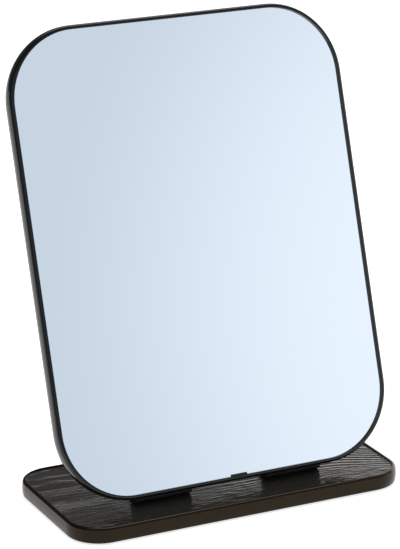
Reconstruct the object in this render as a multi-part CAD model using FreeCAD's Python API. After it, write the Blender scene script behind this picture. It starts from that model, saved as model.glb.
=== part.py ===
"""Table mirror: a rounded mirror that tilts on two friction hinges above a small board base.

The model is built with Y = 0 at the front of the base, Z = 0 on the table and X = 0 in the middle.
The last step moves every piece back so that the origin is under the middle of the whole object.
All sizes are in millimetres.
"""
import FreeCAD, Part
import math
import os

# Base: a faced board with a plastic strip pressed around its edge, on four round pads.
BASE_WIDTH = 201.0
BASE_DEPTH = 96.0
BASE_CORNER_RADIUS = 19.5
BASE_CORE_THICKNESS = 7.2
BASE_FACING_THICKNESS = 0.4
PAD_RADIUS = 6.0
PAD_THICKNESS = 1.5
PAD_INSET = 15.0
PAD_ROUNDING = 0.4

# Base edge strip: a U section, so its two lips grip the faces of the board.
BASE_RIM = 2.3
BASE_LIP = 0.5
BASE_WEB = 1.5
BASE_BULGE = 0.6
BASE_ROUNDING = 1.5

# Mirror: glass taped to a backing board, both held in one U-section edge strip.
MIRROR_WIDTH = 201.0
MIRROR_HEIGHT = 258.4
MIRROR_CORNER_RADIUS = 41.3
MIRROR_LEAN = 18.5
GLASS_THICKNESS = 2.0
TAPE_THICKNESS = 0.5
TAPE_WIDTH = 25.0
TAPE_SIDE_GAP = 27.5
TAPE_END_GAP = 29.2
BACKING_THICKNESS = 3.9
BACK_FACING_THICKNESS = 0.3

# Mirror edge strip: its front lip stands further out than its rear lip.
MIRROR_RIM = 2.7
MIRROR_FRONT_LIP = 1.2
MIRROR_REAR_LIP = 0.7
MIRROR_WEB = 1.0
MIRROR_BULGE = 0.7
MIRROR_FRONT_ROUNDING = 1.9
MIRROR_REAR_ROUNDING = 1.2

# Both strips.
STRIP_PLAY = 0.2
STRIP_JOINT_GAP = 0.2

# Clip tucked behind the joint of the mirror strip, a little to the right of the middle. Its flange
# lies on the glass under the front lip and shows beyond it.
CLIP_CENTRE_X = 2.4
CLIP_WIDTH = 9.9
CLIP_WALL = 0.3
CLIP_OVERHANG = 1.1
CLIP_REAR = 2.5
CLIP_CORNER_RADIUS = 0.5

# Hinges: a leaf on the base and a leaf on the mirror's back share one riveted pin.
HINGE_WIDTH = 34.0
HINGE_FROM_BEND = 2.2
HINGE_SETBACK = 27.2
AXIS_ABOVE_RIM = 0.65
KNUCKLE_RADIUS = 3.2
KNUCKLE_CLEARANCE = 0.3
OUTER_KNUCKLE_LENGTH = 8.0
LEAF_THICKNESS = 1.2
LEAF_LENGTH = 20.0
LEAF_CORNER_RADIUS = 2.5
GUSSET_ANGLE = 25.0
BASE_CRANK = 0.3
CRANK_PLAY = 0.2
PIN_RADIUS = 1.5
PIN_RUNNING_CLEARANCE = 0.05
PIN_HEAD_RADIUS = 2.3
PIN_HEAD_HEIGHT = 0.8
PIN_HEAD_ROUNDING = 0.55
WASHER_RADIUS = 2.9
WASHER_THICKNESS = 0.4
WASHER_PLAY = 0.05

# Countersunk screws, two in each leaf.
SCREW_RADIUS = 1.25
SCREW_HEAD_RADIUS = 2.3
SCREW_HEAD_HEIGHT = 1.0
SCREW_TIP = 1.2
SCREW_POINT_RADIUS = 0.3
SCREW_HOLE_PLAY = 0.1
SCREW_SPACING = 20.0
SCREW_FROM_AXIS = 12.5
BASE_TIP_COVER = 1.8
MIRROR_TIP_COVER = 0.4
RECESS_LENGTH = 2.6
RECESS_WIDTH = 0.5
RECESS_DEPTH = 0.7

# Heights and thicknesses that follow from the sizes above.
BASE_STACK = BASE_CORE_THICKNESS + 2 * BASE_FACING_THICKNESS
BASE_TOTAL = BASE_STACK + 2 * BASE_LIP
BASE_TOP = PAD_THICKNESS + BASE_STACK
MIRROR_STACK = GLASS_THICKNESS + TAPE_THICKNESS + BACKING_THICKNESS + BACK_FACING_THICKNESS
MIRROR_TOTAL = MIRROR_FRONT_LIP + MIRROR_STACK + MIRROR_REAR_LIP
GLASS_BACK = MIRROR_REAR_LIP + BACK_FACING_THICKNESS + BACKING_THICKNESS + TAPE_THICKNESS
GLASS_FRONT = GLASS_BACK + GLASS_THICKNESS
AXIS_DROP = KNUCKLE_RADIUS + KNUCKLE_CLEARANCE
AXIS_HEIGHT = BASE_TOP + AXIS_DROP
HINGE_CENTRE_X = MIRROR_WIDTH / 2 - MIRROR_CORNER_RADIUS - HINGE_FROM_BEND - HINGE_WIDTH / 2
CENTRE_KNUCKLE_HALF = HINGE_WIDTH / 2 - OUTER_KNUCKLE_LENGTH - WASHER_THICKNESS - WASHER_PLAY
BASE_SCREW_LENGTH = LEAF_THICKNESS + BASE_FACING_THICKNESS + BASE_CORE_THICKNESS - BASE_TIP_COVER
MIRROR_SCREW_LENGTH = LEAF_THICKNESS + BACK_FACING_THICKNESS + BACKING_THICKNESS - MIRROR_TIP_COVER

# Helpers for the modelling itself: how far a cutting tool runs past what it cuts, how close counts
# as the same place, and how nearly upright an upright edge is.
CUT_MARGIN = 1.0
SAME_PLACE = 0.01
NEARLY_UPRIGHT = 0.9

X_AXIS = FreeCAD.Vector(1, 0, 0)
Z_AXIS = FreeCAD.Vector(0, 0, 1)
CENTRE = FreeCAD.Vector(0, 0, 0)
SIDES = {"left": -1, "right": 1}


def point(x, y, z):
    return FreeCAD.Vector(x, y, z)


def moved(shape, x=0.0, y=0.0, z=0.0):
    copy = shape.copy()
    copy.translate(point(x, y, z))
    return copy


def block(x_range, y_range, z_range):
    low, high = zip(x_range, y_range, z_range)
    size = [b - a for a, b in zip(low, high)]
    return Part.makeBox(*size, point(*low))


def upright_edges(shape, beyond_y=-math.inf):
    """The edges of a shape that run along Z and lie further along Y than the value given."""
    return [
        edge for edge in shape.Edges
        if abs(edge.tangentAt(edge.FirstParameter).z) > NEARLY_UPRIGHT
        and edge.CenterOfMass.y > beyond_y
    ]


def panel(outline, web, bottom, thickness):
    """A plate with rounded corners that fits inside an edge strip of the given outline and web."""
    inset = web + STRIP_PLAY
    width, height, radius = [size - 2 * inset for size in outline[:2]] + [outline[2] - inset]
    plate = Part.makeBox(width, height, thickness, point(-width / 2, -height / 2, bottom))
    return plate.makeFillet(radius, upright_edges(plate))


def unit(y, z):
    return point(0, y, z).normalize()


def strip_outline(total, depth, bulge, rear_rounding, front_rounding):
    """The outer edges of a strip's section: a bulging side with rounded corners.

    The section lies in the YZ plane with its outermost point at Y = 0 and its back at Z = 0.
    The edges run from the rear inner corner, round the outside, to the front inner corner.
    """
    side_radius = (total ** 2 / 4 + bulge ** 2) / (2 * bulge)
    side_centre = point(0, side_radius, total / 2)

    def front_corner(rounding):
        """The ends and the middle of a front corner, from the bulging side to the face."""
        reach = math.sqrt((side_radius - rounding) ** 2 - (total / 2 - rounding) ** 2)
        centre = point(0, side_radius - reach, total - rounding)
        outward = unit(centre.y - side_centre.y, centre.z - side_centre.z)
        middle = centre + unit(outward.y, outward.z + 1) * rounding
        return side_centre + outward * side_radius, middle, point(0, centre.y, total)

    front_side, front_middle, front_face = front_corner(front_rounding)
    rear_side, rear_middle, rear_face = [
        point(0, p.y, total - p.z) for p in front_corner(rear_rounding)
    ]
    return [
        Part.LineSegment(point(0, depth, 0), rear_face).toShape(),
        Part.Arc(rear_face, rear_middle, rear_side).toShape(),
        Part.Arc(rear_side, point(0, 0, total / 2), front_side).toShape(),
        Part.Arc(front_side, front_middle, front_face).toShape(),
        Part.LineSegment(front_face, point(0, depth, total)).toShape(),
    ]


def strip_section(outline, total, rim, web, rear_lip, front_lip):
    """The U section of an edge strip: a web with a lip over each face of the panel."""
    channel = [(web, total - front_lip), (web, rear_lip)]
    inner = [(rim, total), (rim, total - front_lip), *channel, (rim, rear_lip), (rim, 0)]
    corners = [point(0, y, z) for y, z in inner]
    lines = [Part.LineSegment(a, b).toShape() for a, b in zip(corners, corners[1:])]
    return Part.Face(Part.Wire(outline + lines))


def run_around(section, width, height, radius):
    """Carry a section round a rectangle with rounded corners, as four runs and four bends."""
    pieces = []
    for quarter in range(4):
        along, away = (width, height) if quarter % 2 == 0 else (height, width)
        half_run = along / 2 - radius
        end = moved(section, half_run, -away / 2)
        run = end.extrude(point(-2 * half_run, 0, 0))
        bend = end.revolve(point(half_run, radius - away / 2, 0), Z_AXIS, 90)
        for piece in (run, bend):
            piece.rotate(CENTRE, Z_AXIS, 90 * quarter)
            pieces.append(piece)
    return pieces[0].multiFuse(pieces[1:]).removeSplitter()


def slit(strip, x, y, rim, total):
    """Part the strip where its two ends meet, at the place given on its outer edge."""
    half = STRIP_JOINT_GAP / 2
    reach = rim + STRIP_PLAY
    return strip.cut(block((x - half, x + half), (y - reach, y + reach), (0, total)))


def leaf(mount_drop, crank_length, own_knuckles, other_knuckles, bore):
    """One hinge leaf, with the pin axis along X through the origin and its plate along +Y.

    The plate lies on a face at Z = -mount_drop. Within crank_length of the axis it steps up, so
    that it clears whatever stands proud of that face there.
    """
    plate_top = LEAF_THICKNESS - mount_drop
    root = math.radians(GUSSET_ANGLE)
    outline = [
        (0, -KNUCKLE_RADIUS),
        (crank_length, -KNUCKLE_RADIUS),
        (crank_length + CRANK_PLAY, -mount_drop),
        (LEAF_LENGTH, -mount_drop),
        (LEAF_LENGTH, plate_top),
        (KNUCKLE_RADIUS + LEAF_THICKNESS, plate_top),
        (KNUCKLE_RADIUS * math.cos(root), -KNUCKLE_RADIUS * math.sin(root)),
        (0, 0),
    ]
    corners = [point(-HINGE_WIDTH / 2, y, z) for y, z in outline + outline[:1]]
    plate = Part.Face(Part.makePolygon(corners)).extrude(point(HINGE_WIDTH, 0, 0))
    deep = (-CUT_MARGIN, KNUCKLE_RADIUS + KNUCKLE_CLEARANCE)
    tall = (-mount_drop - CUT_MARGIN, KNUCKLE_RADIUS)
    for span in other_knuckles:
        plate = plate.cut(block(span, deep, tall))
    plate = plate.makeFillet(LEAF_CORNER_RADIUS, upright_edges(plate, LEAF_LENGTH - SAME_PLACE))
    for start, end in own_knuckles:
        plate = plate.fuse(Part.makeCylinder(KNUCKLE_RADIUS, end - start, point(start, 0, 0), X_AXIS))
    plate = plate.removeSplitter()
    bore_start = point(-HINGE_WIDTH / 2 - CUT_MARGIN, 0, 0)
    plate = plate.cut(Part.makeCylinder(bore, HINGE_WIDTH + 2 * CUT_MARGIN, bore_start, X_AXIS))
    for x in screw_places():
        plate = plate.cut(moved(screw_hole(), x, SCREW_FROM_AXIS, plate_top))
    return plate


def screw_places():
    return (-SCREW_SPACING / 2, SCREW_SPACING / 2)


def screw_head():
    """The cone of a countersunk head, its flat top at Z = 0."""
    base = point(0, 0, -SCREW_HEAD_HEIGHT)
    return Part.makeCone(SCREW_RADIUS, SCREW_HEAD_RADIUS, SCREW_HEAD_HEIGHT, base, Z_AXIS)


def screw_hole():
    """The countersunk hole in a leaf, its mouth at Z = 0."""
    depth = LEAF_THICKNESS + CUT_MARGIN
    shank = Part.makeCylinder(SCREW_RADIUS + SCREW_HOLE_PLAY, depth, point(0, 0, -depth))
    return screw_head().fuse(shank)


def screw(length):
    """A countersunk wood screw with a cross recess, pointing down from Z = 0."""
    straight = length - SCREW_HEAD_HEIGHT - SCREW_TIP
    shank_bottom = -SCREW_HEAD_HEIGHT - straight
    shank = Part.makeCylinder(SCREW_RADIUS, straight, point(0, 0, shank_bottom))
    tip = Part.makeCone(SCREW_POINT_RADIUS, SCREW_RADIUS, SCREW_TIP, point(0, 0, -length), Z_AXIS)
    body = screw_head().multiFuse([shank, tip]).removeSplitter()
    half_length, half_width = RECESS_LENGTH / 2, RECESS_WIDTH / 2
    deep = (-RECESS_DEPTH, CUT_MARGIN)
    slots = [
        block((-half_length, half_length), (-half_width, half_width), deep),
        block((-half_width, half_width), (-half_length, half_length), deep),
    ]
    return body.cut(slots[0].fuse(slots[1]))


def hinge_pin():
    """A riveted pin along X: a shaft with a domed head against each outer knuckle."""
    shaft = Part.makeCylinder(PIN_RADIUS, HINGE_WIDTH, point(-HINGE_WIDTH / 2, 0, 0), X_AXIS)
    heads = []
    for side in SIDES.values():
        outward = X_AXIS * side
        inner_end = outward * (HINGE_WIDTH / 2)
        head = Part.makeCylinder(PIN_HEAD_RADIUS, PIN_HEAD_HEIGHT, inner_end, outward)
        middle = HINGE_WIDTH / 2 + PIN_HEAD_HEIGHT / 2
        rim = [edge for edge in head.Edges if edge.Closed and abs(edge.CenterOfMass.x) > middle]
        heads.append(head.makeFillet(PIN_HEAD_ROUNDING, rim))
    return shaft.multiFuse(heads).removeSplitter()


def washer(side):
    """A friction washer between an outer knuckle and the centre knuckle."""
    outer_face = side * (HINGE_WIDTH / 2 - OUTER_KNUCKLE_LENGTH)
    inward = X_AXIS * -side
    disc = Part.makeCylinder(WASHER_RADIUS, WASHER_THICKNESS, point(outer_face, 0, 0), inward)
    hole = Part.makeCylinder(
        PIN_RADIUS + PIN_RUNNING_CLEARANCE, WASHER_THICKNESS, point(outer_face, 0, 0), inward
    )
    return disc.cut(hole)


def knuckle_spans():
    """Where the knuckles lie along X: the base leaf's two outer ones, the mirror leaf's one."""
    end = HINGE_WIDTH / 2
    outer = [(-end, OUTER_KNUCKLE_LENGTH - end), (end - OUTER_KNUCKLE_LENGTH, end)]
    centre = [(-CENTRE_KNUCKLE_HALF, CENTRE_KNUCKLE_HALF)]
    return outer, centre


def base_board():
    """The board and its two facings, without screw holes."""
    outline = (BASE_WIDTH, BASE_DEPTH, BASE_CORNER_RADIUS)
    layers = {
        "base_bottom_facing": BASE_FACING_THICKNESS,
        "base_core": BASE_CORE_THICKNESS,
        "base_top_facing": BASE_FACING_THICKNESS,
    }
    pieces = {}
    bottom = PAD_THICKNESS
    for name, thickness in layers.items():
        pieces[name] = moved(panel(outline, BASE_WEB, bottom, thickness), y=BASE_DEPTH / 2)
        bottom += thickness
    return pieces


def base_strip():
    outline = strip_outline(BASE_TOTAL, BASE_RIM, BASE_BULGE, BASE_ROUNDING, BASE_ROUNDING)
    section = strip_section(outline, BASE_TOTAL, BASE_RIM, BASE_WEB, BASE_LIP, BASE_LIP)
    ring = run_around(section, BASE_WIDTH, BASE_DEPTH, BASE_CORNER_RADIUS)
    ring = slit(ring, 0, BASE_DEPTH / 2, BASE_RIM, BASE_TOTAL)
    return moved(ring, y=BASE_DEPTH / 2, z=PAD_THICKNESS - BASE_LIP)


def foot_pads():
    pieces = {}
    for depth_name, y in (("front", PAD_INSET), ("rear", BASE_DEPTH - PAD_INSET)):
        for side_name, side in SIDES.items():
            x = side * (BASE_WIDTH / 2 - PAD_INSET)
            pad = Part.makeCylinder(PAD_RADIUS, PAD_THICKNESS, point(x, y, 0))
            lower_rim = [
                edge for edge in pad.Edges if edge.Closed and edge.CenterOfMass.z < SAME_PLACE
            ]
            pieces[f"foot_pad_{depth_name}_{side_name}"] = pad.makeFillet(PAD_ROUNDING, lower_rim)
    return pieces


def mirror_sandwich():
    """Glass, tape and backing, lying on their backs with the lower edge of the rim at Y = 0."""
    outline = (MIRROR_WIDTH, MIRROR_HEIGHT, MIRROR_CORNER_RADIUS)
    middle = MIRROR_HEIGHT / 2
    backing_rear = MIRROR_REAR_LIP + BACK_FACING_THICKNESS
    layers = {
        "mirror_back_facing": (MIRROR_REAR_LIP, BACK_FACING_THICKNESS),
        "mirror_backing_board": (backing_rear, BACKING_THICKNESS),
        "mirror_glass": (GLASS_BACK, GLASS_THICKNESS),
    }
    pieces = {
        name: moved(panel(outline, MIRROR_WEB, *layer), y=middle) for name, layer in layers.items()
    }
    outer_tape_x = MIRROR_WIDTH / 2 - TAPE_SIDE_GAP - TAPE_WIDTH / 2
    for name, x in (("left", -outer_tape_x), ("centre", 0), ("right", outer_tape_x)):
        pieces[f"mirror_tape_{name}"] = block(
            (x - TAPE_WIDTH / 2, x + TAPE_WIDTH / 2),
            (TAPE_END_GAP, MIRROR_HEIGHT - TAPE_END_GAP),
            (GLASS_BACK - TAPE_THICKNESS, GLASS_BACK),
        )
    return pieces


def mirror_strip(clip_room):
    """The mirror's strip, with its two ends apart at the joint and a pocket there for the clip."""
    outline = strip_outline(
        MIRROR_TOTAL, MIRROR_RIM, MIRROR_BULGE, MIRROR_REAR_ROUNDING, MIRROR_FRONT_ROUNDING
    )
    section = strip_section(
        outline, MIRROR_TOTAL, MIRROR_RIM, MIRROR_WEB, MIRROR_REAR_LIP, MIRROR_FRONT_LIP
    )
    ring = run_around(section, MIRROR_WIDTH, MIRROR_HEIGHT, MIRROR_CORNER_RADIUS)
    ring = slit(ring, CLIP_CENTRE_X, -MIRROR_HEIGHT / 2, MIRROR_RIM, MIRROR_TOTAL)
    return moved(ring, y=MIRROR_HEIGHT / 2).cut(clip_room)


def strip_clip():
    """The clip behind the strip's joint: a flange on the glass and a web down the panel's edge.

    Returns the clip and the plain block that it takes up together with the panel's corner.
    """
    panel_edge = MIRROR_WEB + STRIP_PLAY
    across = (CLIP_CENTRE_X - CLIP_WIDTH / 2, CLIP_CENTRE_X + CLIP_WIDTH / 2)
    depth = (panel_edge - CLIP_WALL, MIRROR_RIM + CLIP_OVERHANG)
    room = block(across, depth, (CLIP_REAR, GLASS_FRONT + CLIP_WALL))
    clip = room.cut(block(across, (panel_edge, depth[1]), (CLIP_REAR, GLASS_FRONT)))
    clip = clip.makeFillet(CLIP_CORNER_RADIUS, upright_edges(clip, depth[1] - SAME_PLACE))
    return clip, room


def at_rest(shape):
    """Stand a piece of the mirror up at its resting lean, from the frame it is built in."""
    placed = moved(shape, 0, -AXIS_ABOVE_RIM, AXIS_DROP)
    placed.rotate(CENTRE, X_AXIS, 90 - MIRROR_LEAN)
    placed.translate(point(0, HINGE_SETBACK, AXIS_HEIGHT))
    return placed


def from_leaf_frame(shape, x):
    """Take a piece from the mirror leaf's frame, which faces the other way, to the mirror's."""
    turned = shape.copy()
    turned.rotate(CENTRE, point(0, 1, 0), 180)
    turned.translate(point(x, AXIS_ABOVE_RIM, -AXIS_DROP))
    return turned


def add_hinge(pieces, side_name, side):
    """One hinge with its screws, and the screws' holes in the boards."""
    x = side * HINGE_CENTRE_X
    outer, centre = knuckle_spans()
    gap = WASHER_THICKNESS + WASHER_PLAY
    centre_notch = [(centre[0][0] - gap, centre[0][1] + gap)]
    outer_notches = [
        (outer[0][0] - CUT_MARGIN, outer[0][1] + gap),
        (outer[1][0] - gap, outer[1][1] + CUT_MARGIN),
    ]
    mirror_drop = AXIS_DROP + MIRROR_REAR_LIP
    rim_crank = MIRROR_RIM - AXIS_ABOVE_RIM + CRANK_PLAY
    base_leaf = leaf(AXIS_DROP, BASE_CRANK, outer, centre_notch, PIN_RADIUS)
    mirror_leaf = leaf(
        mirror_drop, rim_crank, centre, outer_notches, PIN_RADIUS + PIN_RUNNING_CLEARANCE
    )
    pieces[f"hinge_base_leaf_{side_name}"] = moved(base_leaf, x, HINGE_SETBACK, AXIS_HEIGHT)
    pieces[f"hinge_mirror_leaf_{side_name}"] = from_leaf_frame(mirror_leaf, x)
    pieces[f"hinge_pin_{side_name}"] = moved(hinge_pin(), x, HINGE_SETBACK, AXIS_HEIGHT)
    for washer_name, washer_side in (("inner", -side), ("outer", side)):
        pieces[f"hinge_washer_{side_name}_{washer_name}"] = moved(
            washer(washer_side), x, HINGE_SETBACK, AXIS_HEIGHT
        )
    for place, direction in (("inner", -side), ("outer", side)):
        screw_x = direction * SCREW_SPACING / 2
        screw_y = HINGE_SETBACK + SCREW_FROM_AXIS
        base_screw = moved(
            screw(BASE_SCREW_LENGTH), x + screw_x, screw_y, BASE_TOP + LEAF_THICKNESS
        )
        for board in ("base_top_facing", "base_core"):
            pieces[board] = pieces[board].cut(base_screw)
        pieces[f"base_screw_{side_name}_{place}"] = base_screw
        in_leaf = moved(
            screw(MIRROR_SCREW_LENGTH), -screw_x, SCREW_FROM_AXIS, LEAF_THICKNESS - mirror_drop
        )
        mirror_screw = from_leaf_frame(in_leaf, x)
        for board in ("mirror_back_facing", "mirror_backing_board"):
            pieces[board] = pieces[board].cut(mirror_screw)
        pieces[f"mirror_screw_{side_name}_{place}"] = mirror_screw


def all_pieces():
    """Every piece by its node name, with Y = 0 still at the front of the base."""
    pieces = base_board()
    pieces["base_edge_strip"] = base_strip()
    pieces.update(foot_pads())
    pieces.update(mirror_sandwich())
    pieces["mirror_strip_clip"], clip_room = strip_clip()
    pieces["mirror_edge_strip"] = mirror_strip(clip_room)
    for side_name, side in SIDES.items():
        add_hinge(pieces, side_name, side)
    for name in pieces:
        if name.startswith(("mirror_", "hinge_mirror_")):
            pieces[name] = at_rest(pieces[name])
    return pieces


def main():
    pieces = all_pieces()
    whole = Part.makeCompound(list(pieces.values())).optimalBoundingBox()
    shift = -(whole.YMin + whole.YMax) / 2
    os.makedirs("parts", exist_ok=True)
    for name, shape in pieces.items():
        moved(shape, y=shift).exportStep(f"parts/{name}.step")
    axis_y = HINGE_SETBACK + shift
    print(f"hinge axis at Y {axis_y:.3f}, Z {AXIS_HEIGHT:.3f}; base front at Y {shift:.3f}")


main()
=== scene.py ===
"""Finishes and studio for a table mirror that tilts above a faced board base.

Each operator finishes one group of pieces, and the last one lays the floor, hangs the lamps and
places the camera. Lengths are in metres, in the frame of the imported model.
"""

import math
from typing import NamedTuple

import bpy
from bpy.props import FloatProperty, FloatVectorProperty, PointerProperty
from mathutils import Matrix, Vector, noise


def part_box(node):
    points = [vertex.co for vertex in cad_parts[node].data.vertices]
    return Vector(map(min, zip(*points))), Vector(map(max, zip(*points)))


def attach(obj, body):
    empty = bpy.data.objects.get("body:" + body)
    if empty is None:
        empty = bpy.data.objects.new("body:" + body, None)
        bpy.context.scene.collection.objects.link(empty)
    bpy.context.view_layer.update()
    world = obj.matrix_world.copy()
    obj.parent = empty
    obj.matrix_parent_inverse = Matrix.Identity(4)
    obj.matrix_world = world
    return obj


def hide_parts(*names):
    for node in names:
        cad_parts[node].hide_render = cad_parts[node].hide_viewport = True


bl_info = {
    "name": "Table mirror finishes",
    "version": (1, 0, 0),
    "blender": (4, 5, 0),
    "location": "3D View > Sidebar > Table mirror",
    "description": "Finishes every piece of a tilting table mirror and sets up its studio",
    "category": "Object",
}

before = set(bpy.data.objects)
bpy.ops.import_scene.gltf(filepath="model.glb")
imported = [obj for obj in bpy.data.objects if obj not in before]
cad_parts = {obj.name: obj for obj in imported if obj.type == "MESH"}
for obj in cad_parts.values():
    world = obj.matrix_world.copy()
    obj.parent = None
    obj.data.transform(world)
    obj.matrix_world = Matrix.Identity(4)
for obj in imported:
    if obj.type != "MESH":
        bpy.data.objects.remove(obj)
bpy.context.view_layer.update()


# Property groups


class GrainSettings(bpy.types.PropertyGroup):
    """Embossed wood-grain foil on the base and on the back of the mirror."""

    colour: FloatVectorProperty(
        name="Foil colour", description="Colour of the foil", subtype="COLOR", size=3,
        min=0, max=1, default=(0.0280, 0.0262, 0.0222),
    )
    groove_colour: FloatVectorProperty(
        name="Groove colour", description="Colour at the bottom of the embossing", subtype="COLOR",
        size=3, min=0, max=1, default=(0.0180, 0.0166, 0.0136),
    )
    back_roughness: FloatProperty(
        name="Back roughness", description="Roughness of the foil on the mirror's back",
        subtype="FACTOR", min=0, max=1, default=0.3,
    )
    ring_spacing: FloatProperty(
        name="Ring spacing", description="Distance between the ridges in the middle of the figure",
        subtype="DISTANCE", unit="LENGTH", default=0.0036,
    )
    ring_depth: FloatProperty(
        name="Ring depth", description="Depth of the ridges", subtype="DISTANCE",
        unit="LENGTH", default=0.00021,
    )
    dash_depth: FloatProperty(
        name="Dash depth", description="Depth of the short dashes between the ridges",
        subtype="DISTANCE", unit="LENGTH", default=0.00005,
    )
    roughness: FloatProperty(
        name="Roughness", description="Roughness of the foil", subtype="FACTOR", min=0, max=1,
        default=0.16,
    )


class StripSettings(bpy.types.PropertyGroup):
    """Extruded plastic strips round the base and the mirror."""

    base_colour: FloatVectorProperty(
        name="Base strip colour", description="Colour of the strip round the base",
        subtype="COLOR", size=3, min=0, max=1, default=(0.0068, 0.0046, 0.0025),
    )
    mirror_colour: FloatVectorProperty(
        name="Mirror strip colour", description="Colour of the strip round the mirror",
        subtype="COLOR", size=3, min=0, max=1, default=(0.0050, 0.0049, 0.0048),
    )
    roughness: FloatProperty(
        name="Roughness", description="Roughness of the plastic", subtype="FACTOR", min=0, max=1,
        default=0.12,
    )


class GlassSettings(bpy.types.PropertyGroup):
    """Silvered mirror glass."""

    tint: FloatVectorProperty(
        name="Silver tint", description="Colour of the silvering seen through the glass",
        subtype="COLOR", size=3, min=0, max=1, default=(0.90, 0.93, 0.94),
    )


class MetalSettings(bpy.types.PropertyGroup):
    """Hinges and screws."""

    paint: FloatVectorProperty(
        name="Paint colour", description="Colour of the hinge paint", subtype="COLOR", size=3,
        min=0, max=1, default=(0.034, 0.034, 0.036),
    )
    steel: FloatVectorProperty(
        name="Steel colour", description="Colour of bare steel", subtype="COLOR", size=3,
        min=0, max=1, default=(0.42, 0.41, 0.40),
    )
    screw: FloatVectorProperty(
        name="Screw colour", description="Colour of the blackened screws", subtype="COLOR", size=3,
        min=0, max=1, default=(0.05, 0.05, 0.052),
    )


class StudioSettings(bpy.types.PropertyGroup):
    """Floor, surroundings and lamps."""

    floor_colour: FloatVectorProperty(
        name="Floor colour", description="Colour of the floor", subtype="COLOR", size=3,
        min=0, max=1, default=(0.80, 0.80, 0.80),
    )
    surroundings: FloatVectorProperty(
        name="Surroundings", description="Colour of the dim surroundings", subtype="COLOR", size=3,
        min=0, max=1, default=(0.12, 0.12, 0.12),
    )
    key_power: FloatProperty(
        name="Key power", description="Power of the lamp above and behind", subtype="POWER",
        unit="POWER", default=16.0,
    )
    fill_power: FloatProperty(
        name="Fill power", description="Power of the lamp above and in front", subtype="POWER",
        unit="POWER", default=13.0,
    )


# Node helpers


# How much further a normal has to turn before an edge goes from unworn to fully worn.
WEAR_FADE = 0.1


class Shader:
    """A short way to build one node material."""

    def __init__(self, name, colour, roughness):
        self.material = bpy.data.materials.new(name)
        self.material.use_nodes = True
        self.tree = self.material.node_tree
        self.bsdf = self.tree.nodes["Principled BSDF"]
        self.bsdf.inputs["Base Color"].default_value = (*colour, 1)
        self.bsdf.inputs["Roughness"].default_value = roughness
        self.material.diffuse_color = (*colour, 1)

    def node(self, kind, **inputs):
        made = self.tree.nodes.new(kind)
        for label, value in inputs.items():
            made.inputs[label.replace("_", " ")].default_value = value
        return made

    def link(self, out_socket, in_socket):
        self.tree.links.new(out_socket, in_socket)

    def set(self, **values):
        for label, value in values.items():
            self.bsdf.inputs[label.replace("_", " ")].default_value = value

    def object_coordinates(self, stretch):
        """Object coordinates multiplied by stretch, so that a noise comes out longer one way."""
        place = self.node("ShaderNodeTexCoord")
        mapping = self.node("ShaderNodeMapping")
        mapping.inputs["Scale"].default_value = stretch
        self.link(place.outputs["Object"], mapping.inputs["Vector"])
        return mapping.outputs["Vector"]

    def noise(self, vector, scale, detail=4.0, rough=0.5):
        """Soft noise from 0 to 1, mostly near 0.5."""
        made = self.node("ShaderNodeTexNoise", Scale=scale, Detail=detail, Roughness=rough)
        self.link(vector, made.inputs["Vector"])
        return made.outputs["Fac"]

    def ranged(self, value, low, high, from_low=0.0, from_high=1.0):
        """Stretch a value from one range to another."""
        made = self.node("ShaderNodeMapRange")
        made.inputs["From Min"].default_value = from_low
        made.inputs["From Max"].default_value = from_high
        made.inputs["To Min"].default_value = low
        made.inputs["To Max"].default_value = high
        self.link(value, made.inputs["Value"])
        return made.outputs["Result"]

    def blend(self, factor, first, second):
        """A colour between two colours."""
        made = self.tree.nodes.new("ShaderNodeMix")
        made.data_type = "RGBA"
        for socket in made.inputs:
            if socket.identifier == "A_Color":
                socket.default_value = (*first, 1)
            if socket.identifier == "B_Color":
                socket.default_value = (*second, 1)
            if socket.identifier == "Factor_Float":
                self.link(factor, socket)
        return next(s for s in made.outputs if s.identifier == "Result_Color")

    def pair(self, operation, first, second):
        """One value worked out from two."""
        made = self.tree.nodes.new("ShaderNodeMath")
        made.operation = operation
        self.link(first, made.inputs[0])
        self.link(second, made.inputs[1])
        return made.outputs[0]

    def sum_of(self, first, second):
        return self.pair("ADD", first, second)

    def product_of(self, first, second):
        return self.pair("MULTIPLY", first, second)

    def worn_edges(self, radius, start):
        """1 along outer edges and 0 on faces: how far a rounded-off normal leaves the true one."""
        bevel = self.node("ShaderNodeBevel", Radius=radius)
        shape = self.node("ShaderNodeNewGeometry")
        facing = self.tree.nodes.new("ShaderNodeVectorMath")
        facing.operation = "DOT_PRODUCT"
        self.link(bevel.outputs["Normal"], facing.inputs[0])
        self.link(shape.outputs["Normal"], facing.inputs[1])
        return self.ranged(facing.outputs["Value"], 1.0, 0.0, start - WEAR_FADE, start)

    def colour_from(self, factor, first, second):
        """Let the base colour run from the first to the second."""
        self.link(self.blend(factor, first, second), self.bsdf.inputs["Base Color"])

    def roughness_from(self, value, low, high, from_low=0.3, from_high=0.7):
        """Let the roughness run from low to high."""
        self.link(self.ranged(value, low, high, from_low, from_high), self.bsdf.inputs["Roughness"])

    def bump_from(self, height, distance, strength):
        """Let a height between 0 and 1 roughen the surface, over the distance."""
        bump = self.node("ShaderNodeBump", Strength=strength, Distance=distance)
        self.link(height, bump.inputs["Height"])
        self.link(bump.outputs["Normal"], self.bsdf.inputs["Normal"])


def finish_nodes(material, *names):
    """Give CAD nodes a material."""
    for name in names:
        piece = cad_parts[name]
        if not piece.material_slots:
            piece.data.materials.append(material)
        for slot in piece.material_slots:
            slot.material = material


def nodes_named(prefix):
    """Names of the CAD nodes that start with a prefix, in order."""
    return sorted(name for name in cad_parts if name.startswith(prefix))


# Materials


# Specular level of each surface; 0.5 would be that of a plain plastic.
FOIL_SPECULAR = 0.22
BASE_STRIP_SPECULAR = 0.22
MIRROR_STRIP_SPECULAR = 0.31
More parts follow.
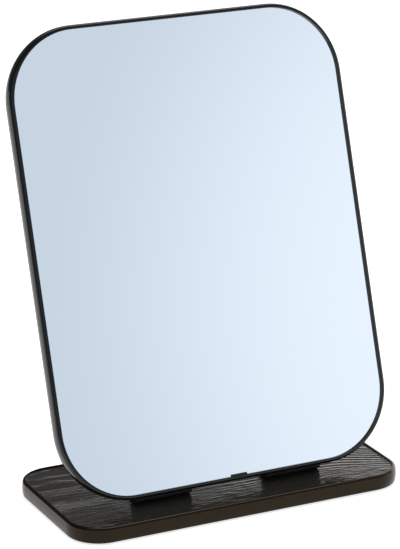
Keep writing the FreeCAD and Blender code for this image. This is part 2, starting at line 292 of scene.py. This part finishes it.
# Tint of the light that each strip reflects. The base strip's warm tint is a painted reflection: it
# stands in for warm surroundings that the studio doesn't hold. The mirror strip's white tint paints
# nothing.
BASE_STRIP_PAINTED_WARM_REFLECTION = (1.0, 0.76, 0.50)
MIRROR_STRIP_TINT = (1.0, 1.0, 1.0)
# Stretch of the object coordinates: noise as wide as it is long, and noise drawn out along X.
EVEN = (1, 1, 1)
ALONG_GRAIN = (1, 8, 8)
# Radius of the scuffed edges of the plastic and of the rubbed edges of the paint.
SCUFF_RADIUS = 0.0004
RUB_RADIUS = 0.00035
# Darkest and lightest places of a mottle, and its glossiest and dullest, as factors.
MOTTLE_DARK, MOTTLE_LIGHT = 0.75, 1.2
MOTTLE_GLOSS, MOTTLE_DULL = 0.85, 1.2
# A scuffed edge is this many times as light as the plastic, and lighter by this much more.
SCUFF_GAIN = 2.0
SCUFF_LIFT = 0.004


def grain_foil(settings, name, roughness):
    """Black foil with a wood grain: long pores and streaks along the sheet's own X axis."""
    shader = Shader(name, settings.colour, roughness)
    shader.set(Specular_IOR_Level=FOIL_SPECULAR)
    stretched = shader.object_coordinates(ALONG_GRAIN)
    pores = shader.noise(stretched, scale=150.0, detail=4.0, rough=0.6)
    streaks = shader.noise(stretched, scale=30.0, detail=3.0, rough=0.5)
    shader.colour_from(pores, settings.groove_colour, settings.colour)
    shader.roughness_from(streaks, low=roughness * 0.8, high=roughness * 1.3)
    shader.bump_from(pores, distance=0.00006, strength=0.8)
    return shader.material


def strip_plastic(name, colour, roughness, specular, tint):
    """Extruded plastic: a faint mottle, a fine skin and slightly scuffed edges."""
    shader = Shader(name, colour, roughness)
    # The specular tint colours the reflected light. For the base strip it is a painted warm
    # reflection.
    shader.set(Specular_IOR_Level=specular, Specular_Tint=(*tint, 1.0))
    even = shader.object_coordinates(EVEN)
    mottle = shader.noise(even, scale=60.0, detail=3.0)
    skin = shader.noise(even, scale=700.0, detail=2.0)
    worn = shader.worn_edges(SCUFF_RADIUS, start=0.96)
    scuffed = [part * SCUFF_GAIN + SCUFF_LIFT for part in colour]
    shader.colour_from(worn, colour, scuffed)
    shader.roughness_from(
        shader.sum_of(mottle, worn),
        low=roughness * 0.85, high=roughness * 1.9, from_low=0.4, from_high=1.5,
    )
    shader.bump_from(skin, distance=0.000008, strength=0.5)
    return shader.material


def silvered_glass(settings):
    """Mirror glass, a little less sharp where it was wiped."""
    shader = Shader("silvered_glass", settings.tint, roughness=0.0)
    shader.set(Metallic=1.0)
    even = shader.object_coordinates(EVEN)
    wipe = shader.noise(even, scale=12.0, detail=4.0)
    shader.roughness_from(wipe, low=0.004, high=0.02)
    return shader.material


def plain_finish(name, colour, roughness, scale, depth, metallic=0.0):
    """A finish with a fine, even texture: a mottle in colour and gloss, and a slight relief."""
    shader = Shader(name, colour, roughness)
    shader.set(Metallic=metallic)
    even = shader.object_coordinates(EVEN)
    mottle = shader.noise(even, scale=scale, detail=4.0)
    dark = [part * MOTTLE_DARK for part in colour]
    light = [min(1.0, part * MOTTLE_LIGHT) for part in colour]
    shader.colour_from(mottle, dark, light)
    dullest = min(1.0, roughness * MOTTLE_DULL)
    shader.roughness_from(mottle, low=roughness * MOTTLE_GLOSS, high=dullest)
    shader.bump_from(mottle, distance=depth, strength=0.6)
    return shader.material


def worn_paint(settings, name):
    """Satin black paint over steel, rubbed through in places along its edges."""
    shader = Shader(name, settings.paint, roughness=0.38)
    even = shader.object_coordinates(EVEN)
    orange_peel = shader.noise(even, scale=900.0, detail=3.0)
    patches = shader.noise(even, scale=260.0, detail=4.0, rough=0.6)
    edges = shader.worn_edges(RUB_RADIUS, start=0.93)
    rubbed = shader.ranged(patches, low=0.0, high=1.0, from_low=0.48, from_high=0.66)
    worn = shader.product_of(edges, rubbed)
    shader.colour_from(worn, settings.paint, settings.steel)
    shader.link(worn, shader.bsdf.inputs["Metallic"])
    shader.roughness_from(patches, low=0.32, high=0.46)
    shader.bump_from(orange_peel, distance=0.000012, strength=0.6)
    return shader.material


# The embossed foils


class Figure(NamedTuple):
    """How the wood figure lies on one foil."""

    # Distance from the first edge to the middle of the figure.
    heart: float
    # Radius of the foil's corners, which stay inside the edge strip.
    corner: float
    # Factor on all depths.
    strength: float
    # How far the rings bend forward at one end.
    swing: float
    # Which layer of the noise it takes.
    layer: float
    # Numbers of faces across the grain and along it.
    rows: int
    columns: int


BASE_FIGURE = Figure(
    heart=0.0926, corner=0.0178, strength=1.0, swing=0.016, layer=0.0, rows=400, columns=220
)
BACK_FIGURE = Figure(
    heart=0.115, corner=0.0401, strength=0.6, swing=0.004, layer=40.0, rows=430, columns=110
)

# Distance over which the rings open out, from the edge of a figure to its heart.
FIGURE_REACH = 0.0926
# The rings lie this many times as close at the edge, up to the first range, and this many times as
# close at the heart, beyond the second range. Ranges count from the edge towards the heart.
CLOSE_RINGS, CLOSE_RINGS_END = 1.5, (0.014, 0.028)
WIDE_RINGS, WIDE_RINGS_START = 0.30, (0.050, 0.062)
# Where the rings start to bend at the two ends, over what length, and how far they drop at the left.
SWING_START = 0.045
DROP_START = -0.05
BEND_LENGTH = 0.05
END_DROP = 0.004
# Ranges over which the swirls, the sharper ridges, the full depth and the shallower dashes set in.
SWIRL_RANGE = (0.055, 0.075)
SHARP_RANGE = (0.054, 0.068)
BODY_RANGE = (0.018, 0.032)
DASH_RANGE = (0.02, 0.035)
# Depth of the ridges at the edge, as a share of their full depth.
EDGE_BODY = 0.16
# Sharpness of the ridges up to the sharp range, and what the range adds.
SHARPNESS, ADDED_SHARPNESS = 0.9, 5.0
# Least, middle and greatest depth of the ridges as they fade along the grain, and how far they sway.
LEAST_FADING, MIDDLE_FADING, MOST_FADING = 0.15, 0.85, 1.2
FADING_SWAY = 0.9
# How deep the dashes lie at the edge, how much of that goes over their range, and how far they sway.
EDGE_DASHES, LOST_DASHES = 1.3, 0.7
DASH_SWAY, FINE_DASH_SHARE = 1.4, 0.6
# How many rings each noise moves the ridges by.
WANDER_RINGS, JITTER_RINGS, SWIRL_RINGS = 1.1, 0.3, 0.35
# Patches of noise: scale along the grain, scale across it, and a level that picks the patch.
SWIRL = (70, 40, 5.2)
WANDER = (9, 16, 3.1)
JITTER = (45, 110, 7.7)
FADING = (22, 90, 11.3)
DASHES = (110, 480, 1.7)
FINE_DASHES = (260, 900, 4.9)
# The noise is turned by the angle with this cosine and sine, so that its lattice shows no rows.
TURN_COS, TURN_SIN = 0.84, 0.54
# Width of the flat border of a foil.
FLAT_EDGE = 0.0008


def ease(value, low, high):
    """0 below low, 1 above high, and a smooth rise between."""
    part = min(1.0, max(0.0, (value - low) / (high - low)))
    return part * part * (3 - 2 * part)


def ease_sum(value, low, high):
    """The running total of ease from low up to the value."""
    part = min(1.0, max(0.0, (value - low) / (high - low)))
    return (high - low) * (part ** 3 - part ** 4 / 2) + max(0.0, value - high)


def relief(x, y, settings, figure):
    """Height of the embossed figure, never above 0; y counts from the foil's first edge.

    The rings lie close together at the edge, at the set spacing further in and far apart at the
    heart, as in a board sawn off the side of a log.
    """
    swing = figure.swing * max(0.0, (x - SWING_START) / BEND_LENGTH) ** 2
    drop = END_DROP * max(0.0, (DROP_START - x) / BEND_LENGTH)
    across = FIGURE_REACH - abs(y - figure.heart) + (swing - drop)
    rings = (
        CLOSE_RINGS * across
        - (CLOSE_RINGS - 1) * ease_sum(across, *CLOSE_RINGS_END)
        - (1 - WIDE_RINGS) * ease_sum(across, *WIDE_RINGS_START)
    )

    def patch(along_scale, across_scale, level):
        """Noise stretched along the grain."""
        along, over = x * along_scale, y * across_scale
        turned_x = TURN_COS * along - TURN_SIN * over
        turned_y = TURN_SIN * along + TURN_COS * over
        return noise.noise(Vector((turned_x, turned_y, level + figure.layer)))

    swirl = patch(*SWIRL) * ease(across, *SWIRL_RANGE)
    wander = WANDER_RINGS * patch(*WANDER)
    phase = rings / settings.ring_spacing + wander + JITTER_RINGS * patch(*JITTER)
    sharpness = SHARPNESS + ADDED_SHARPNESS * ease(across, *SHARP_RANGE)
    wave = math.sin(2 * math.pi * (phase + SWIRL_RINGS * swirl))
    ridge = (0.5 + 0.5 * wave) ** sharpness
    body = EDGE_BODY + (1 - EDGE_BODY) * ease(across, *BODY_RANGE)
    fading = min(MOST_FADING, max(LEAST_FADING, MIDDLE_FADING + FADING_SWAY * patch(*FADING)))
    rings_down = (1 - ridge) * settings.ring_depth * body * fading
    dash = patch(*DASHES) + FINE_DASH_SHARE * patch(*FINE_DASHES)
    share = EDGE_DASHES - LOST_DASHES * ease(across, *DASH_RANGE)
    dashes_down = settings.dash_depth * (1.0 + DASH_SWAY * dash) * share
    return -figure.strength * (rings_down + max(0.0, dashes_down))


def face_space(node, facing, along):
    """A flat node's own space, with X along the grain and Z out of the face, and its size.

    The space's origin is the middle of the face that looks towards facing.
    """
    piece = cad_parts[node]
    turn = piece.matrix_world.to_3x3()

    def facing_area(polygon):
        return polygon.area * (turn @ polygon.normal).dot(facing)

    face = max(piece.data.polygons, key=facing_area)
    out = (turn @ face.normal).normalized()
    across = out.cross(along).normalized()
    axes = Matrix((across.cross(out), across, out)).transposed()
    corners = [axes.inverted() @ (piece.matrix_world @ vertex.co) for vertex in piece.data.vertices]
    low = Vector([min(corner[axis] for corner in corners) for axis in range(3)])
    high = Vector([max(corner[axis] for corner in corners) for axis in range(3)])
    middle = Vector(((low.x + high.x) / 2, (low.y + high.y) / 2, high.z))
    return Matrix.Translation(axes @ middle) @ axes.to_4x4(), high - low


def embossed_sheet(name, space, size, settings, figure):
    """A closed sheet with rounded corners whose face carries the embossed figure.

    Each row of points runs from one side of the rounded outline to the other.
    """
    rows, columns = figure.rows, figure.columns
    half_x, half_y = size.x / 2, size.y / 2
    vertices, faces = [], []
    for row in range(rows + 1):
        y = -half_y + 2 * half_y * row / rows
        beyond = max(0.0, abs(y) - (half_y - figure.corner))
        reach = half_x - figure.corner + math.sqrt(max(0.0, figure.corner ** 2 - beyond ** 2))
        for column in range(columns + 1):
            x = reach * (2 * column / columns - 1)
            soft = min(1.0, min(reach - abs(x), half_y - abs(y)) / FLAT_EDGE)
            vertices.append((x, y, relief(x, y + half_y, settings, figure) * soft))
    width = columns + 1
    for row in range(rows):
        for column in range(columns):
            start = row * width + column
            faces.append((start, start + 1, start + width + 1, start + width))
    rim = list(range(width))
    rim += [row * width + columns for row in range(1, rows + 1)]
    rim += [rows * width + column for column in range(columns - 1, -1, -1)]
    rim += [row * width for row in range(rows - 1, 0, -1)]
    below = len(vertices)
    vertices += [(vertices[index][0], vertices[index][1], -size.z) for index in rim]
    count = len(rim)
    for step in range(count):
        after = (step + 1) % count
        faces.append((rim[step], below + step, below + after, rim[after]))
    faces.append(tuple(range(below + count - 1, below - 1, -1)))
    mesh = bpy.data.meshes.new(name)
    mesh.from_pydata(vertices, [], faces)
    mesh.validate()
    face_count = rows * columns
    mesh.polygons.foreach_set("use_smooth", [index < face_count for index in range(len(faces))])
    mesh.update()
    sheet = bpy.data.objects.new(name, mesh)
    sheet.matrix_world = space
    bpy.context.scene.collection.objects.link(sheet)
    return sheet


def drill_for(sheet, prefix):
    """Cut the holes that the screws pass through."""
    for screw in nodes_named(prefix):
        hole = sheet.modifiers.new("hole_for_" + screw, "BOOLEAN")
        hole.operation = "DIFFERENCE"
        hole.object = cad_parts[screw]


# Operators


class MIRROR_OT_base_grain(bpy.types.Operator):
    """Emboss the foil on top of the base."""

    bl_idname = "table_mirror.base_grain"
    bl_label = "Emboss the base"

    def execute(self, context):
        settings = context.scene.table_mirror_grain
        space, size = face_space("base_top_facing", Vector((0, 0, 1)), Vector((1, 0, 0)))
        sheet = embossed_sheet("base_top_grain", space, size, settings, BASE_FIGURE)
        sheet.data.materials.append(grain_foil(settings, "grain_foil", settings.roughness))
        drill_for(sheet, "base_screw")
        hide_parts("base_top_facing")
        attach(sheet, "base")
        return {"FINISHED"}


class MIRROR_OT_back_grain(bpy.types.Operator):
    """Emboss the foil on the back of the mirror."""

    bl_idname = "table_mirror.back_grain"
    bl_label = "Emboss the mirror's back"

    def execute(self, context):
        settings = context.scene.table_mirror_grain
        space, size = face_space("mirror_back_facing", Vector((0, 1, 0)), Vector((0, 0, 1)))
        sheet = embossed_sheet("mirror_back_grain", space, size, settings, BACK_FIGURE)
        sheet.data.materials.append(grain_foil(settings, "back_foil", settings.back_roughness))
        drill_for(sheet, "mirror_screw")
        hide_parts("mirror_back_facing")
        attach(sheet, "mirror")
        return {"FINISHED"}


class MIRROR_OT_boards(bpy.types.Operator):
    """Finish the boards, the facing under the base, the tape and the pads."""

    bl_idname = "table_mirror.boards"
    bl_label = "Finish the boards"

    def execute(self, context):
        board = plain_finish(
            "fibreboard", colour=(0.40, 0.29, 0.19), roughness=0.9, scale=400.0, depth=0.00005
        )
        finish_nodes(board, "base_core", "mirror_backing_board")
        under = plain_finish(
            "under_foil", colour=(0.035, 0.033, 0.031), roughness=0.6, scale=300.0, depth=0.00003
        )
        finish_nodes(under, "base_bottom_facing")
        tape = plain_finish(
            "foam_tape", colour=(0.78, 0.77, 0.72), roughness=0.8, scale=500.0, depth=0.00004
        )
        finish_nodes(tape, *nodes_named("mirror_tape"))
        rubber = plain_finish(
            "pad_rubber", colour=(0.022, 0.022, 0.022), roughness=0.7, scale=700.0, depth=0.00003
        )
        finish_nodes(rubber, *nodes_named("foot_pad"))
        return {"FINISHED"}


class MIRROR_OT_strips(bpy.types.Operator):
    """Finish the two plastic edge strips and the clip behind the mirror's joint."""

    bl_idname = "table_mirror.strips"
    bl_label = "Finish the edge strips"

    def execute(self, context):
        settings = context.scene.table_mirror_strip
        base = strip_plastic(
            "base_plastic", settings.base_colour, settings.roughness,
            BASE_STRIP_SPECULAR, BASE_STRIP_PAINTED_WARM_REFLECTION,
        )
        finish_nodes(base, "base_edge_strip")
        mirror = strip_plastic(
            "mirror_plastic", settings.mirror_colour, settings.roughness,
            MIRROR_STRIP_SPECULAR, MIRROR_STRIP_TINT,
        )
        finish_nodes(mirror, "mirror_edge_strip")
        clip = plain_finish(
            "clip_black", colour=(0.006, 0.006, 0.006), roughness=0.55, scale=700.0, depth=0.00001
        )
        finish_nodes(clip, "mirror_strip_clip")
        return {"FINISHED"}


class MIRROR_OT_glass(bpy.types.Operator):
    """Silver the glass."""

    bl_idname = "table_mirror.glass"
    bl_label = "Silver the glass"

    def execute(self, context):
        finish_nodes(silvered_glass(context.scene.table_mirror_glass), "mirror_glass")
        return {"FINISHED"}


class MIRROR_OT_hinges(bpy.types.Operator):
    """Finish the hinge leaves, pins, washers and screws."""

    bl_idname = "table_mirror.hinges"
    bl_label = "Finish the hinges"

    def execute(self, context):
        settings = context.scene.table_mirror_metal
        paint = worn_paint(settings, "hinge_paint")
        leaves = nodes_named("hinge_base_leaf") + nodes_named("hinge_mirror_leaf")
        finish_nodes(paint, *leaves)
        steel = plain_finish(
            "pin_steel", settings.steel, roughness=0.32, scale=600.0, depth=0.00001, metallic=1.0
        )
        finish_nodes(steel, *nodes_named("hinge_pin"))
        nylon = plain_finish(
            "washer_nylon", colour=(0.03, 0.03, 0.03), roughness=0.5, scale=400.0, depth=0.00002
        )
        finish_nodes(nylon, *nodes_named("hinge_washer"))
        black_steel = plain_finish(
            "screw_black", settings.screw, roughness=0.4, scale=600.0, depth=0.00001, metallic=1.0
        )
        finish_nodes(black_steel, *nodes_named("base_screw"), *nodes_named("mirror_screw"))
        return {"FINISHED"}


# Studio


# Soft windows: azimuth from straight behind towards the right, elevation, the angles at which the
# light is full and gone (degrees), and colour.
WINDOWS = (
    (135.0, 10.0, 25.0, 38.0, (0.518, 0.588, 0.690)),
    (145.0, 12.0, 2.0, 13.0, (0.285, 0.286, 0.289)),
    (58.0, 0.0, 27.0, 40.0, (2.45, 2.41, 2.33)),
    (112.0, -5.0, 14.0, 34.0, (1.45, 1.45, 1.45)),
    (180.0, 24.0, 8.0, 22.0, (0.40, 0.45, 0.50)),
    (218.0, 24.0, 14.0, 36.0, (0.42, 0.47, 0.52)),
)
FLOOR_HALF = 12.0
# Glow that brings the lit floor up to white where it is seen or mirrored.
FLOOR_LIFT = 0.72
# Both lamps are squares of one size, aimed at one point.
LAMP_TARGET = Vector((0, 0, 0.1))
LAMP_SIZE = 1.4
KEY_PLACE = Vector((0.55, 0.55, 1.5))
FILL_PLACE = Vector((-0.7, -0.8, 1.5))
# The camera stands this far left of the middle, in front of the base's front edge and above the table.
CAMERA_LEFT = 0.6317
CAMERA_AHEAD = 1.2124
CAMERA_HEIGHT = 0.5893
CAMERA_PITCH = 18.2
CAMERA_YAW = 26.388
CAMERA_LENS = 178.3
CAMERA_SENSOR = 36.0


def studio_floor(settings):
    """A wide floor that shows white to the eye and in reflections, and keeps the shadow."""
    mesh = bpy.data.meshes.new("studio_floor")
    corners = [(x * FLOOR_HALF, y * FLOOR_HALF, 0) for x, y in ((-1, -1), (1, -1), (1, 1), (-1, 1))]
    mesh.from_pydata(corners, [], [(0, 1, 2, 3)])
    floor = bpy.data.objects.new("studio_floor", mesh)
    bpy.context.scene.collection.objects.link(floor)
    shader = Shader("studio_floor", settings.floor_colour, roughness=1.0)
    shader.set(Specular_IOR_Level=0.0)
    rays = shader.node("ShaderNodeLightPath").outputs
    seen = shader.pair("MAXIMUM", rays["Is Camera Ray"], rays["Is Glossy Ray"])
    seen_all = shader.pair("MAXIMUM", seen, rays["Is Transmission Ray"])
    lift = shader.ranged(seen_all, 0.0, FLOOR_LIFT)
    shader.set(Emission_Color=(1, 1, 1, 1))
    shader.link(lift, shader.bsdf.inputs["Emission Strength"])
    mesh.materials.append(shader.material)


def toward(azimuth, elevation):
    """A direction: azimuth in degrees from straight behind the object towards its right."""
    turn, rise = math.radians(azimuth), math.radians(elevation)
    return Vector((math.sin(turn) * math.cos(rise), math.cos(turn) * math.cos(rise), math.sin(rise)))


def studio_world(settings):
    """Dim, even surroundings with soft patches of light where the windows stand."""
    world = bpy.data.worlds.new("studio_world")
    bpy.context.scene.world = world
    world.use_nodes = True
    tree = world.node_tree
    background = tree.nodes["Background"]
    place = tree.nodes.new("ShaderNodeTexCoord")
    total = None
    for azimuth, elevation, inner, outer, colour in WINDOWS:
        facing = tree.nodes.new("ShaderNodeVectorMath")
        facing.operation = "DOT_PRODUCT"
        facing.inputs[1].default_value = toward(azimuth, elevation)
        tree.links.new(place.outputs["Generated"], facing.inputs[0])
        soft = tree.nodes.new("ShaderNodeMapRange")
        soft.interpolation_type = "SMOOTHSTEP"
        soft.inputs["From Min"].default_value = math.cos(math.radians(outer))
        soft.inputs["From Max"].default_value = math.cos(math.radians(inner))
        tree.links.new(facing.outputs["Value"], soft.inputs["Value"])
        light = tree.nodes.new("ShaderNodeVectorMath")
        light.operation = "SCALE"
        light.inputs[0].default_value = colour
        tree.links.new(soft.outputs["Result"], light.inputs["Scale"])
        added = tree.nodes.new("ShaderNodeVectorMath")
        added.operation = "ADD"
        tree.links.new(light.outputs["Vector"], added.inputs[0])
        if total is None:
            added.inputs[1].default_value = settings.surroundings
        else:
            tree.links.new(total, added.inputs[1])
        total = added.outputs["Vector"]
    tree.links.new(total, background.inputs["Color"])


def soft_lamp(name, place, power, mirrored):
    """A wide lamp above the object; mirrored says whether glossy surfaces reflect it."""
    data = bpy.data.lights.new(name, "AREA")
    data.shape = "RECTANGLE"
    data.size = LAMP_SIZE
    data.size_y = LAMP_SIZE
    data.energy = power
    lamp = bpy.data.objects.new(name, data)
    lamp.location = place
    lamp.rotation_euler = (LAMP_TARGET - place).to_track_quat("-Z", "Y").to_euler()
    lamp.visible_camera = False
    lamp.visible_glossy = mirrored
    bpy.context.scene.collection.objects.link(lamp)


def studio_camera():
    """A long lens a little to the left and above, looking down past the front of the base."""
    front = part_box("base_edge_strip")[0].y
    data = bpy.data.cameras.new("studio_camera")
    data.sensor_width = CAMERA_SENSOR
    data.lens = CAMERA_LENS
    camera = bpy.data.objects.new("studio_camera", data)
    camera.location = (-CAMERA_LEFT, front - CAMERA_AHEAD, CAMERA_HEIGHT)
    pitch, yaw = math.radians(CAMERA_PITCH), math.radians(CAMERA_YAW)
    camera.rotation_euler = (math.pi / 2 - pitch, 0, -yaw)
    bpy.context.scene.collection.objects.link(camera)
    bpy.context.scene.camera = camera


class MIRROR_OT_studio(bpy.types.Operator):
    """Lay the floor, hang the lamps and place the camera."""

    bl_idname = "table_mirror.studio"
    bl_label = "Set up the studio"

    def execute(self, context):
        settings = context.scene.table_mirror_studio
        studio_floor(settings)
        studio_world(settings)
        soft_lamp("key_lamp", KEY_PLACE, settings.key_power, mirrored=True)
        soft_lamp("fill_lamp", FILL_PLACE, settings.fill_power, mirrored=False)
        studio_camera()
        context.scene.view_settings.view_transform = "Standard"
        return {"FINISHED"}


class MIRROR_PT_finishes(bpy.types.Panel):
    """Lists the settings and the steps in order."""

    bl_label = "Table mirror"
    bl_idname = "MIRROR_PT_finishes"
    bl_space_type = "VIEW_3D"
    bl_region_type = "UI"
    bl_category = "Table mirror"

    def draw(self, context):
        for settings_name, _ in SETTINGS:
            box = self.layout.box()
            settings = getattr(context.scene, settings_name)
            for prop in settings.bl_rna.properties:
                if prop.identifier not in ("rna_type", "name"):
                    box.prop(settings, prop.identifier)
        for step in STEPS:
            self.layout.operator(step.bl_idname)


SETTINGS = (
    ("table_mirror_grain", GrainSettings),
    ("table_mirror_strip", StripSettings),
    ("table_mirror_glass", GlassSettings),
    ("table_mirror_metal", MetalSettings),
    ("table_mirror_studio", StudioSettings),
)
STEPS = (
    MIRROR_OT_base_grain,
    MIRROR_OT_back_grain,
    MIRROR_OT_boards,
    MIRROR_OT_strips,
    MIRROR_OT_glass,
    MIRROR_OT_hinges,
    MIRROR_OT_studio,
)


def register():
    for name, group in SETTINGS:
        bpy.utils.register_class(group)
        setattr(bpy.types.Scene, name, PointerProperty(type=group))
    for step in STEPS:
        bpy.utils.register_class(step)
    bpy.utils.register_class(MIRROR_PT_finishes)


def unregister():
    bpy.utils.unregister_class(MIRROR_PT_finishes)
    for step in reversed(STEPS):
        bpy.utils.unregister_class(step)
    for name, group in reversed(SETTINGS):
        delattr(bpy.types.Scene, name)
        bpy.utils.unregister_class(group)


def main():
    register()
    for step in STEPS:
        group, operator = step.bl_idname.split(".")
        getattr(getattr(bpy.ops, group), operator)()


if __name__ == "__main__":
    main()
